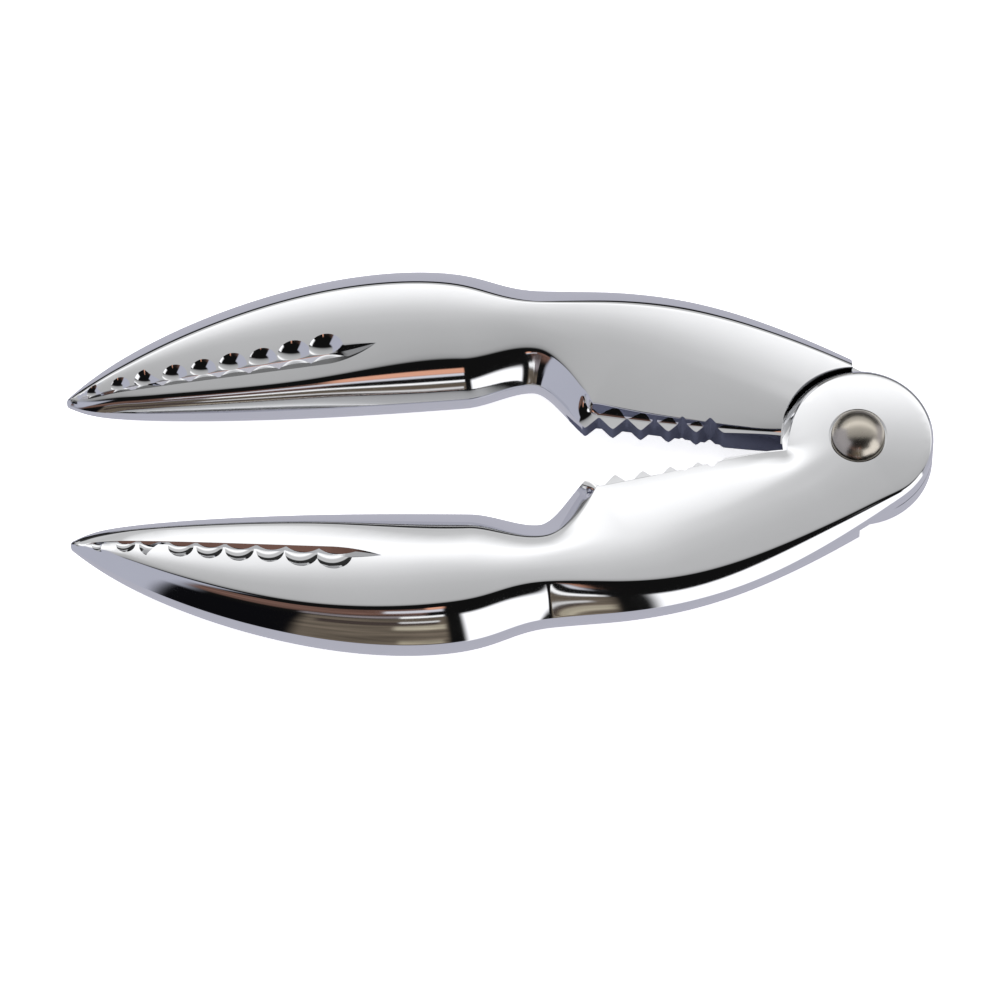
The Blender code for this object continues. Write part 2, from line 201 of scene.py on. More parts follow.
def makeWorld():
    # A soft light tent: a bright softbox behind, a grey ceiling, and in front a dark room
    # with a white panel to the right of the camera and the pale table below.
    world = bpy.data.worlds.new("lightTent")
    bpy.context.scene.world = world
    world.use_nodes = True
    tree = world.node_tree
    tree.nodes.clear()
    out = tree.nodes.new("ShaderNodeOutputWorld")
    sky = tree.nodes.new("ShaderNodeBackground")
    coord = tree.nodes.new("ShaderNodeTexCoord")
    split = tree.nodes.new("ShaderNodeSeparateXYZ")
    link(tree, coord, "Generated", split, "Vector")
    front = calc(tree, "MULTIPLY", split.outputs["Y"], -1.0)
    overTop = calc(tree, "DEGREES", calc(tree, "ARCTAN2", split.outputs["Z"], front))
    right = calc(tree, "DEGREES", calc(tree, "ARCTAN2", split.outputs["X"], front))
    up = calc(tree, "DEGREES", calc(tree, "ARCSINE", split.outputs["Z"]))
    ramp = tree.nodes.new("ShaderNodeValToRGB")
    elements = ramp.color_ramp.elements
    elements.remove(elements[-1])
    for index, (angle, level) in enumerate(tent["arch"]):
        element = elements[0] if index == 0 else elements.new(angle / 180)
        element.position = angle / 180
        element.color = (level, level, level, 1)
    tree.links.new(calc(tree, "DIVIDE", overTop, 180.0), ramp.inputs["Fac"])
    colour = ramp.outputs["Color"]

    # streaks, longer across than they are high, for the brown panels
    place = tree.nodes.new("ShaderNodeCombineXYZ")
    tree.links.new(calc(tree, "MULTIPLY", right, 0.05), place.inputs["X"])
    tree.links.new(calc(tree, "MULTIPLY", up, 0.45), place.inputs["Y"])
    streak = tree.nodes.new("ShaderNodeTexNoise")
    streak.inputs["Scale"].default_value = 1.0
    streak.inputs["Detail"].default_value = 3.0
    link(tree, place, "Vector", streak, "Vector")
    uneven = tree.nodes.new("ShaderNodeMapRange")
    uneven.inputs["From Min"].default_value = 0.3
    uneven.inputs["From Max"].default_value = 0.7
    uneven.inputs["To Min"].default_value = 0.55
    uneven.inputs["To Max"].default_value = 1.35
    link(tree, streak, "Fac", uneven, "Value")

    for low, high, bottom, top, soft, shade in tent["panels"]:
        across = between(tree, right, low, high, soft)
        mask = calc(tree, "MULTIPLY", across, between(tree, up, bottom, top, soft))
        tint = tree.nodes.new("ShaderNodeVectorMath")
        tint.operation = "SCALE"
        tint.inputs[0].default_value = shade
        brown = max(shade) < 0.5 and min(shade) > 0.01 and shade[0] > shade[2]
        if brown:
            link(tree, uneven, "Result", tint, "Scale")
        else:
            tint.inputs["Scale"].default_value = 1.0
        mix = tree.nodes.new("ShaderNodeMix")
        mix.data_type = "RGBA"
        tree.links.new(mask, mix.inputs[0])
        tree.links.new(colour, mix.inputs[6])
        tree.links.new(tint.outputs["Vector"], mix.inputs[7])
        colour = mix.outputs[2]
    tree.links.new(colour, sky.inputs["Color"])
    link(tree, sky, "Background", out, "Surface")


def plainMaterial(name, colour, roughness, glow=0.0):
    material = bpy.data.materials.new(name)
    material.use_nodes = True
    tree = material.node_tree
    shader = tree.nodes["Principled BSDF"]
    noise = tree.nodes.new("ShaderNodeTexNoise")
    noise.inputs["Scale"].default_value = 3.0
    ramp = tree.nodes.new("ShaderNodeValToRGB")
    ramp.color_ramp.elements[0].color = (*[0.985 * part for part in colour], 1)
    ramp.color_ramp.elements[1].color = (*colour, 1)
    coord = tree.nodes.new("ShaderNodeTexCoord")
    link(tree, coord, "Object", noise, "Vector")
    link(tree, noise, "Fac", ramp, "Fac")
    link(tree, ramp, "Color", shader, "Base Color")
    shader.inputs["Roughness"].default_value = roughness
    if glow:
        link(tree, ramp, "Color", shader, "Emission Color")
        shader.inputs["Emission Strength"].default_value = glow
    return material


def plane(name, low, high, height, material):
    corners = [(low[0], low[1], height), (high[0], low[1], height)]
    corners += [(high[0], high[1], height), (low[0], high[1], height)]
    data = bpy.data.meshes.new(name)
    data.from_pydata(corners, [], [(0, 1, 2, 3)])
    obj = bpy.data.objects.new(name, data)
    bpy.context.scene.collection.objects.link(obj)
    data.materials.append(material)
    return obj


def makeStudio():
    makeCamera()
    makeWorld()
    low, far = cadBox[0].z, studio["floorReach"]
    rough = studio["paperRoughness"]
    paper = plainMaterial("palePaper", studio["floorColour"], rough, glow=studio["floorGlow"])
    floor = plane("floor", (-far, -far), (far, far), low - 0.0003, paper)
    floor.visible_glossy = False
    # The jaws stand so close together that the table between them lies in shade; this dark strip is
    # painted shade, seen only in the metal's reflections.
    shade = plainMaterial("shadedTable", studio["shadedColour"], rough)
    corners = [(pivot.x + x, pivot.y + y) for x, y in (studio["shadedFrom"], studio["shadedTo"])]
    strip = plane("shadeInMirror", *corners, low - 0.0002, shade)
    strip.visible_camera = strip.visible_diffuse = strip.visible_shadow = False
    for name, place, size, power in studio["lamps"]:
        areaLamp(name, place, size, power)
    bpy.context.scene.view_settings.view_transform = "Standard"
    print("studio ready")


# ---- metals ----

chromeLook = {
    "colour": (0.86, 0.865, 0.88),
    "roughness": (0.03, 0.075),
    "waveHeight": 0.00002,
    "waveScale": 45.0,
    "scratchStrength": 0.03,
}
nickelLook = {
    "colour": (0.64, 0.59, 0.51),
    "roughness": (0.24, 0.34),
    "waveHeight": 0.00001,
    "waveScale": 90.0,
    "scratchStrength": 0.10,
}


def polishedMetal(name, look):
    # Plated casting: a slow waviness from the polishing wheel, faint wipe marks and smudges.
    material = bpy.data.materials.new(name)
    material.use_nodes = True
    tree = material.node_tree
    shader = tree.nodes["Principled BSDF"]
    shader.inputs["Metallic"].default_value = 1.0
    coord = tree.nodes.new("ShaderNodeTexCoord")

    smudge = tree.nodes.new("ShaderNodeTexNoise")
    smudge.inputs["Scale"].default_value = 55.0
    smudge.inputs["Detail"].default_value = 4.0
    link(tree, coord, "Object", smudge, "Vector")
    tint = tree.nodes.new("ShaderNodeValToRGB")
    tint.color_ramp.elements[0].position = 0.3
    tint.color_ramp.elements[0].color = (*[0.96 * part for part in look["colour"]], 1)
    tint.color_ramp.elements[1].position = 0.7
    tint.color_ramp.elements[1].color = (*look["colour"], 1)
    link(tree, smudge, "Fac", tint, "Fac")
    link(tree, tint, "Color", shader, "Base Color")
    dull = tree.nodes.new("ShaderNodeMapRange")
    dull.inputs["From Min"].default_value = 0.35
    dull.inputs["From Max"].default_value = 0.75
    dull.inputs["To Min"].default_value = look["roughness"][0]
    dull.inputs["To Max"].default_value = look["roughness"][1]
    link(tree, smudge, "Fac", dull, "Value")
    link(tree, dull, "Result", shader, "Roughness")

    wave = tree.nodes.new("ShaderNodeTexNoise")
    wave.inputs["Scale"].default_value = look["waveScale"]
    wave.inputs["Detail"].default_value = 1.0
    link(tree, coord, "Object", wave, "Vector")
    rolling = tree.nodes.new("ShaderNodeBump")
    rolling.inputs["Strength"].default_value = 1.0
    rolling.inputs["Distance"].default_value = look["waveHeight"]
    link(tree, wave, "Fac", rolling, "Height")

    stretch = tree.nodes.new("ShaderNodeMapping")
    stretch.inputs["Scale"].default_value = (60.0, 1400.0, 1400.0)
    stretch.inputs["Rotation"].default_value = (0.0, 0.0, 0.35)
    link(tree, coord, "Object", stretch, "Vector")
    wipe = tree.nodes.new("ShaderNodeTexNoise")
    wipe.inputs["Scale"].default_value = 1.0
    wipe.inputs["Detail"].default_value = 2.0
    link(tree, stretch, "Vector", wipe, "Vector")
    fine = tree.nodes.new("ShaderNodeBump")
    fine.inputs["Strength"].default_value = look["scratchStrength"]
    fine.inputs["Distance"].default_value = 0.00002
    link(tree, wipe, "Fac", fine, "Height")
    link(tree, rolling, "Normal", fine, "Normal")
    link(tree, fine, "Normal", shader, "Normal")
    return material


# ---- the claw casting ----

# Lengths in millimetres; x runs from the pivot to the claw (negative), y out from the
# closing line, z up from the middle of the casting's thickness.
arm = {
    "earRadius": 16.1,
    "stopLength": 12.5,
    "toothPitch": 5.92,
    "toothGaps": 5,
    "rampLength": 11.3,
    "clawLength": 99.3,
    "closingGap": 0.3,
    "stopSlope": 1.1,  # degrees
    "jawBack": 33.0,
    "neckBack": 32.6,
    "neckFront": 10.5,
    "clawBack": 35.9,
    "tipHeight": 2.8,
    "tipRound": 1.7,
    "crestAt": 0.225,
    "throatAt": 0.145,
    "touchAt": 0.845,
    "earTangent": 62.0,  # degrees
    "restHalfAngle": 4.75,  # degrees, half the angle between the arms at rest
    "step": 0.5,  # distance between points of the outline
    "faceStep": 0.9,  # distance between points inside the face
    "middleBlend": 6.0,  # how soon the outer shoulder's width takes over from the inner one's
    "pivotFade": 14.0,  # the two sides of the face become alike over this length
    "slimX": -130.0,  # beyond it the shoulder leans towards the middle line
    "slimHalf": 9.0,
    "slimBlend": 4.0,
    "sharpAngle": 24.0,  # degrees
}
teethStart = arm["earRadius"] + arm["stopLength"]
teethEnd = teethStart + arm["toothGaps"] * arm["toothPitch"]
neckAt = teethEnd + arm["rampLength"]
reach = neckAt + arm["clawLength"]

# Sections along the arm: height of the face's edge over the middle, how much higher the
# outer edge is than the inner one, crown of the face, outer and inner shoulder widths,
# outer and inner heights of the upright band.
sections = (
    (-reach, (1.0, 0.0, 0.1, 0.9, 0.9, 1.2, 1.2)),
    (-(neckAt + 0.88 * arm["clawLength"]), (4.8, 0.7, 0.5, 3.4, 2.3, 3.2, 3.0)),
    (-(neckAt + 0.5 * arm["clawLength"]), (8.2, 1.4, 1.1, 5.2, 4.2, 4.8, 4.2)),
    (-(neckAt + arm["crestAt"] * arm["clawLength"]), (9.6, 1.5, 1.3, 6.1, 6.3, 5.0, 4.2)),
    (-neckAt, (8.6, 1.2, 0.8, 5.6, 5.3, 5.0, 4.2)),
    (-(teethStart + teethEnd) / 2, (6.2, 1.3, 1.1, 4.3, 2.6, 4.6, 5.4)),
    (-arm["earRadius"], (5.8, 0.7, 1.1, 3.2, 0.5, 4.6, 9.4)),
    (arm["earRadius"], (5.2, 0.0, 1.1, 0.6, 0.5, 9.4, 9.4)),
)


def clawX(share):
    return -(neckAt + share * arm["clawLength"])


def hermite(places, values, x):
    # Smooth curve through values given at places, for an array x.
    x = np.clip(x, places[0], places[-1])
    index = np.clip(np.searchsorted(places, x, side="left") - 1, 0, len(places) - 2)
    slopes = np.empty_like(values)
    slopes[1:-1] = (values[2:] - values[:-2]) / (places[2:] - places[:-2])[:, None]
    slopes[0] = (values[1] - values[0]) / (places[1] - places[0])
    slopes[-1] = (values[-1] - values[-2]) / (places[-1] - places[-2])
    span = (places[index + 1] - places[index])[:, None]
    t = (x[:, None] - places[index][:, None]) / span
    return (
        values[index] * (2 * t**3 - 3 * t**2 + 1)
        + slopes[index] * span * (t**3 - 2 * t**2 + t)
        + values[index + 1] * (3 * t**2 - 2 * t**3)
        + slopes[index + 1] * span * (t**3 - t**2)
    )


sectionPlaces = np.array([place for place, _ in sections], float)
sectionSizes = np.array([sizes for _, sizes in sections], float)


def sectionAt(x):
    return hermite(sectionPlaces, sectionSizes, np.atleast_1d(np.asarray(x, float)))


def toothLine(distance):
    return arm["closingGap"] + math.tan(math.radians(arm["stopSlope"])) * (distance - arm["earRadius"])


def bezierSpan(start, startHandle, endHandle, end):
    points = interpolate_bezier(
        Vector((*start, 0)),
        Vector((start[0] + startHandle[0], start[1] + startHandle[1], 0)),
        Vector((end[0] + endHandle[0], end[1] + endHandle[1], 0)),
        Vector((*end, 0)),
        200,
    )
    return np.array([(point.x, point.y) for point in points])


def evenly(points, step):
    # The same path with evenly spaced points; the last one is left to the next span.
    run = np.concatenate([[0], np.cumsum(np.hypot(*np.diff(points, axis=0).T))])
    count = max(int(round(run[-1] / step)), 2)
    where = np.linspace(0, run[-1], count + 1)[:-1]
    return np.stack([np.interp(where, run, points[:, 0]), np.interp(where, run, points[:, 1])], 1)


# Lengths of the outline's curve handles, as shares of each curve's run along the arm.
handles = {
    "tipAlong": 0.195,
    "tipRise": 0.207,
    "crestTowardsTip": 0.35,
    "crestTowardsNeck": 0.5,
    "neckTowardsCrest": 0.4,
    "jaw": 0.38,
    "ear": 0.4,
    "ramp": 0.35,
    "rampTop": 0.3,
    "neckTowardsThroat": 0.3,
    "throatTowardsNeck": (0.35, 0.0455),
    "throatTowardsTip": (0.33, 0.043),
    "touchTowardsThroat": (0.3, 0.006),
    "touchTowardsTip": 0.5,
    "beak": (0.3, 0.12),
}
neckRound = 4.0


def armOutline():
    tipX = -reach + 0.4
    tipBack = (tipX, arm["tipHeight"] + arm["tipRound"] / 2)
    tipFront = (tipX, arm["tipHeight"] - arm["tipRound"] / 2)
    crest = (clawX(arm["crestAt"]), arm["clawBack"])
    neckTop = (-neckAt, arm["neckBack"])
    jaw = (-teethEnd + 0.7 * arm["toothPitch"], arm["jawBack"])
    first = math.radians(arm["earTangent"])
    ear = (arm["earRadius"] * math.cos(first), arm["earRadius"] * math.sin(first))
    claw, waist, jawRun = crest[0] - tipX, neckTop[0] - crest[0], ear[0] - jaw[0]
    earHandle = handles["ear"] * jawRun
    alongEar = (-math.sin(first) * earHandle, math.cos(first) * earHandle)
    sweep = np.linspace(first, -math.pi, 300)
    stop = (-arm["earRadius"], toothLine(arm["earRadius"]))
    firstTooth = (-teethEnd, toothLine(teethEnd))
    neck = (-neckAt, arm["neckFront"])
    throat = (clawX(arm["throatAt"]), 0.6 * arm["neckFront"])
    touch = (clawX(arm["touchAt"]), arm["closingGap"] / 2)
    climb = (neck[0] - firstTooth[0], neck[1] - firstTooth[1])
    fall, inner, beak = neck[0] - throat[0], throat[0] - touch[0], touch[0] - tipX
    leave = {name: np.array(share) for name, share in handles.items()}
    along = np.array((1.0, 0.0))
    upClaw = np.array((handles["tipAlong"], handles["tipRise"])) * claw
    spans = (
        bezierSpan(tipBack, upClaw, -along * leave["crestTowardsTip"] * claw, crest),
        bezierSpan(
            crest,
            along * leave["crestTowardsNeck"] * waist,
            -along * leave["neckTowardsCrest"] * waist,
            neckTop,
        ),
        bezierSpan(neckTop, along * neckRound, -along * neckRound, jaw),
        bezierSpan(jaw, along * leave["jaw"] * jawRun, alongEar, ear),
        np.stack([arm["earRadius"] * np.cos(sweep), arm["earRadius"] * np.sin(sweep)], 1),
        np.array([stop, firstTooth]),
        bezierSpan(
            firstTooth,
            leave["ramp"] * np.array(climb),
            along * leave["rampTop"] * arm["rampLength"],
            neck,
        ),
        bezierSpan(
            neck,
            -along * leave["neckTowardsThroat"] * fall,
            leave["throatTowardsNeck"] * fall,
            throat,
        ),
        bezierSpan(
            throat,
            -leave["throatTowardsTip"] * inner,
            leave["touchTowardsThroat"] * inner,
            touch,
        ),
        bezierSpan(
            touch,
            -along * leave["touchTowardsTip"] * beak,
            leave["beak"] * (beak, -beak),
            tipFront,
        ),
        bezierSpan(tipFront, (-0.5, 0.3), (-0.5, -0.3), tipBack),
    )
    paths = [evenly(span, arm["step"]) for span in spans]
    # one on the outer side, none on the inner side, half round the ear and the tip
    outer = (1, 1, 1, 1, 0.5, 0, 0, 0, 0, 0, 0.5)
    sides = [np.full(len(path), share) for path, share in zip(paths, outer)]
    return np.concatenate(paths), np.concatenate(sides)


class Casting:
    # Holds the casting's outline, spine, band heights and shoulder widths.
    pass


# The middle line of the casting, from the tip to the pivot.
spinePoints = (
    (-167.0, 3.2),
    (-160.0, 5.6),
    (-150.0, 9.2),
    (-131.0, 14.6),
    (-112.0, 17.8),
    (-92.0, 19.8),
    (-75.0, 20.6),
    (-60.0, 18.9),
    (-45.0, 16.5),
    (-30.0, 12.8),
    (-15.0, 7.0),
    (0.0, 0.0),
)


def armSpine():
    nodes = np.array(spinePoints, float)
    x = np.linspace(nodes[0, 0], 0, 1200)
    return np.stack([x, hermite(nodes[:, 0], nodes[:, 1:], x)[:, 0]], 1)


def nearest(points, path, closed=False):
    # Distance from each point to a path, where on it, and which side of it (outer is +1).
    after = np.roll(path, -1, axis=0) if closed else np.append(path[1:], path[-1:], axis=0)
    away = np.empty(len(points))
    where = np.empty((len(points), 2))
    side = np.empty(len(points))
    for start in range(0, len(points), 3000):
        part = points[start : start + 3000]
        close = ((part[:, None, :] - path[None, :, :]) ** 2).sum(2).argmin(1)
        best = np.full(len(part), 1e9)
        for index in ((close - 1) % len(path), close):
            if not closed:
                index = np.clip(index, 0, len(path) - 2)
            base, along = path[index], after[index] - path[index]
            length = (along**2).sum(1)
            t = np.clip(((part - base) * along).sum(1) / length, 0, 1)
            foot = base + along * t[:, None]
            gap = part - foot
            distance = np.hypot(gap[:, 0], gap[:, 1])
            better = distance < best
            best = np.where(better, distance, best)
            turn = along[:, 0] * gap[:, 1] - along[:, 1] * gap[:, 0]
            view = slice(start, start + len(part))
            where[view] = np.where(better[:, None], foot, where[view])
            side[view] = np.where(better, np.sign(turn), side[view])
        away[start : start + len(part)] = best
    return away, where, side


def faceHeight(shape, points):
    # The face is a low arch across the arm, highest along its middle line.
    toSpine, foot, side = nearest(points, shape.spine)
    toEdge, _, _ = nearest(points, shape.outline, closed=True)
    half, lean, crown, outer, inner, _, _ = sectionAt(foot[:, 0]).T
    fade = np.clip(-foot[:, 0] / arm["pivotFade"], 0, 1)
    share = fade * np.clip(side * toSpine / arm["middleBlend"], -1, 1)
    shoulder = 0.5 * (outer + inner) + 0.5 * (outer - inner) * share
    inside = insidePolygon(points, shape.outline)
    width = toSpine + np.where(inside, toEdge, -toEdge) - 0.8 * shoulder
    width = np.maximum(width, 0.55 * toSpine + 0.4)
    u = toSpine / width
    return half + 0.5 * fade * lean * side * u + crown * (1 - u**2)


def smoothRound(values, spread):
    # Soft average round the closed outline.
    reachOut = np.arange(-3 * spread, 3 * spread + 1)
    weights = np.exp(-0.5 * (reachOut / spread) ** 2)
    weights /= weights.sum()
    return sum(w * np.roll(values, -offset, axis=0) for offset, w in zip(reachOut, weights))


def unit(vectors):
    return vectors / np.linalg.norm(vectors, axis=1)[:, None]


def shapeOfCasting():
    shape = Casting()
    shape.outline, sides = armOutline()
    shape.spine = armSpine()
    along = np.roll(shape.outline, -1, axis=0) - np.roll(shape.outline, 1, axis=0)
    normal = unit(np.stack([along[:, 1], -along[:, 0]], 1))
    toSpine, foot, _ = nearest(shape.outline, shape.spine)
    half, _, _, outer, inner, outerBand, innerBand = sectionAt(shape.outline[:, 0]).T
    sides = smoothRound(sides.astype(float), 5)
    shape.band = smoothRound(outerBand * sides + innerBand * (1 - sides), 3)
    width = outer * sides + inner * (1 - sides)
    shape.width = smoothRound(np.minimum(width, 0.6 * toSpine), 3)
    # near the slim tip the shoulder leans towards the middle line, elsewhere straight in
    straight = unit(smoothRound(normal, 7))
    central = unit(foot - shape.outline)
    slim = np.clip((arm["slimHalf"] - toSpine) / arm["slimBlend"], 0, 1)[:, None]
    slim = np.where(shape.outline[:, :1] > arm["slimX"], 0, slim)
    shape.inward = unit(smoothRound(straight * (1 - slim) + central * slim, 3))
    return shape


shoulder = {
    "bulge": 0.36,  # 0 is a straight slope
    "ledge": 0.8,  # share of its width that lies flat behind the teeth
    "crispness": 0.32,  # mm of rounding where it meets the face
    "creaseDepth": 0.55,  # the fold at the neck
    "creaseLength": 5.0,
    "ledgeStart": (3.0, 3.0),  # how far past the last tooth the ledge begins, and its fade
    "ledgeEnd": (12.0, 4.0),  # how far from the pivot it ends, and its fade
    "ledgeHeight": 8.0,  # only edges nearer the closing line than this have a ledge
    "edgeDrop": 0.12,
}


def shoulderRings(shape):
    # Rings from the upright band's crisp edge, up the rounded shoulder and onto the face.
    outline, width = shape.outline, shape.width
    band = shape.band
    edge = faceHeight(shape, outline + shape.inward * width[:, None])
    shares = [0.0, 0.015, 0.05]
    shares += list(np.linspace(0.1, 0.86, 11)) + list(np.linspace(0.89, 1.13, 13)) + [1.19, 1.27]
    fold = np.exp(-np.abs(outline[:, 0] + neckAt) / shoulder["creaseLength"])
    # the ledge runs along the toothed side only, and fades out at the ramp and at the ear
    x, y = outline.T
    past, fadeIn = shoulder["ledgeStart"]
    away, fadeOut = shoulder["ledgeEnd"]
    jaw = np.clip((x + teethEnd + past) / fadeIn, 0, 1) * np.clip((-away - x) / fadeOut, 0, 1)
    ledge = smoothRound(jaw * (y < shoulder["ledgeHeight"]), 2)
    bulge, flat = shoulder["bulge"], shoulder["ledge"]
    rings = []
    for share in shares:
        place = outline + shape.inward * (width * share)[:, None]
        top = faceHeight(shape, place)
        steep = (1 + bulge) * share - bulge * share**2
        step = 0.05 * share + 0.95 * max(0, (share - flat) / (1 - flat)) ** 1.2
        steep = steep * (1 - ledge) + step * ledge
        rise = band / 2 + (edge - band / 2) * steep
        rise -= shoulder["creaseDepth"] * fold * math.sin(math.pi * min(share, 1)) ** 0.7
        soft = shoulder["crispness"] + 0.015 * width
        gap = np.clip(0.5 + 0.5 * (top - rise) / soft, 0, 1)
        z = top * (1 - gap) + rise * gap - soft * gap * (1 - gap)
        rings.append(np.column_stack([place, z]))
    rings[0][:, 2] = band / 2 - shoulder["edgeDrop"]
    return rings


def insidePolygon(points, polygon):
    inside = np.zeros(len(points), bool)
    x, y = points[:, 0], points[:, 1]
    for (x0, y0), (x1, y1) in zip(polygon, np.roll(polygon, -1, axis=0)):
        if y0 == y1:
            continue
        crosses = (y0 > y) != (y1 > y)
        inside ^= crosses & (x < (x1 - x0) * (y - y0) / (y1 - y0) + x0)
    return inside


def castingMesh():
    shape = shapeOfCasting()
    rings = shoulderRings(shape)
    rim = rings[-1][:, :2]
    count = len(rim)
    low, high = rim.min(0), rim.max(0)
    step = arm["faceStep"]
    rows = np.arange(low[1], high[1], step * math.sqrt(3) / 2)
    grid = []
    for row, y in enumerate(rows):
        x = np.arange(low[0] + (row % 2) * step / 2, high[0], step)
        grid.append(np.column_stack([x, np.full_like(x, y)]))
    grid = np.concatenate(grid)
    grid = grid[insidePolygon(grid, rim)]
    away, _, _ = nearest(grid, rim, closed=True)
    grid = grid[away > 0.55 * step]
    flat = [Vector(point) for point in np.concatenate([rim, grid])]
    edges = [(index, (index + 1) % count) for index in range(count)]
    found = delaunay_2d_cdt(flat, edges, [], 1, 1e-6)
    if len(found[0]) != len(flat):
        print("note: the face's triangulation added points", len(found[0]) - len(flat))
    faceZ = faceHeight(shape, grid)

    vertices = []
    faces = []

    def addRing(ring, side):
        start = len(vertices)
        vertices.extend((x, y, side * z) for x, y, z in ring)
        return start

    def bridge(lower, upper, side):
        for index in range(count):
            after = (index + 1) % count
            quad = (lower + index, lower + after, upper + after, upper + index)
            faces.append(quad if side > 0 else quad[::-1])

    firsts = {}
    for side in (1, -1):
        starts = [addRing(ring, side) for ring in rings]
        firsts[side] = starts[0]
        for lower, upper in zip(starts, starts[1:]):
            bridge(lower, upper, side)
        inner = len(vertices)
        vertices.extend((x, y, side * z) for (x, y), z in zip(grid, faceZ))
        for corners in found[2]:
            face = [starts[-1] + c if c < count else inner + c - count for c in corners]
            faces.append(face if side > 0 else face[::-1])
    bridge(firsts[-1], firsts[1], 1)
    data = bpy.data.meshes.new("casting")
    data.from_pydata([(x * mm, y * mm, z * mm) for x, y, z in vertices], [], faces)
    mesh = bmesh.new()
    mesh.from_mesh(data)
    bmesh.ops.recalc_face_normals(mesh, faces=mesh.faces)
    mesh.to_mesh(data)
    mesh.free()
    print("casting has", len(data.vertices), "points")
    return shape, data


def newObject(name, data):
    obj = bpy.data.objects.new(name, data)
    bpy.context.scene.collection.objects.link(obj)
    return obj


def meshObject(name, mesh):
    bmesh.ops.recalc_face_normals(mesh, faces=mesh.faces)
    data = bpy.data.meshes.new(name)
    mesh.to_mesh(data)
    mesh.free()
    return newObject(name, data)


def prism(name, points, low, high):
    mesh = bmesh.new()
    bottom = [mesh.verts.new((x * mm, y * mm, low * mm)) for x, y in points]
    top = [mesh.verts.new((x * mm, y * mm, high * mm)) for x, y in points]
    count = len(points)
    mesh.faces.new(bottom)
    mesh.faces.new(top)
    for index in range(count):
        after = (index + 1) % count
        mesh.faces.new((bottom[index], bottom[after], top[after], top[index]))
    return meshObject(name, mesh)


def circle(radius, count):
    turns = [math.tau * k / count for k in range(count)]
    return [(radius * math.cos(turn), radius * math.sin(turn)) for turn in turns]


hingeCuts = {
    "gap": 0.3,
    "hornAngle": 96.0,
    "shankHole": 2.8,
    "seatRadius": 6.25,
    "seatHeight": 5.35,
    "far": 50.0,  # well outside the casting
}


def recessCutter():
    radius = arm["earRadius"] + hingeCuts["gap"]
    horn = math.radians(hingeCuts["hornAngle"])
    sweep = np.linspace(math.pi, horn, 90)
    points = [(radius * math.cos(a), radius * math.sin(a)) for a in sweep]
    far = hingeCuts["far"]
    points.append((far * math.cos(horn), far * math.sin(horn)))
    points += [(far, far), (far, -far), (-radius, -far)]
    return prism("recessCutter", points, -hingeCuts["gap"] / 2, far)


def cutAway(obj, tool):
    modifier = obj.modifiers.new(tool.name, "BOOLEAN")
    modifier.operation = "DIFFERENCE"
    modifier.solver = "MANIFOLD"
    modifier.object = tool
    bpy.context.view_layer.update()
    graph = bpy.context.evaluated_depsgraph_get()
    data = bpy.data.meshes.new_from_object(obj.evaluated_get(graph))
    obj.modifiers.clear()
    old = obj.data
    obj.data = data
    bpy.data.meshes.remove(old)
    bpy.data.objects.remove(tool)


# ---- what repeats on the casting ----

teeth = {
    "depth": 2.45,
    "halfWidth": 2.75,
    "lip": 0.2,  # how far the tooth's tip is rounded
}
scallops = {
    "count": 9,
    "firstX": -163.3,
    "lastX": -114.2,
    "bow": -5.2,  # they stand a little closer together near the tip
    "firstSize": 1.75,
    "lastSize": 3.75,
}
# The groove on the front face (1) and on the back face (-1): its bottom line, the width of
# its plain side for each millimetre of depth, how far the scallops bite outwards and how deep.
grooves = {
    1: {"start": (-166.5, 3.0), "end": (-103.0, 15.4), "slope": 2.2, "reach": 0.95, "deep": 0.44},
    -1: {"start": (-166.5, 3.5), "end": (-103.6, 17.2), "slope": 0.95, "reach": 0.94, "deep": 0.34},
}
groove = {
    "deepShare": 0.83,  # where along it the groove is deepest
    "depth": 1.75,
    "tipDepth": 0.45,
    "clear": 1.2,  # how far the cutter stands out of the face
    "farLean": 0.05,  # lean of the scalloped side, and how much it gains at the pointed end
    "endLean": 0.55,
}


def inputSocket(tree, name, kind, default):
    socket = tree.interface.new_socket(name=name, in_out="INPUT", socket_type=kind)
    if default is not None:
        socket.default_value = default
    return socket


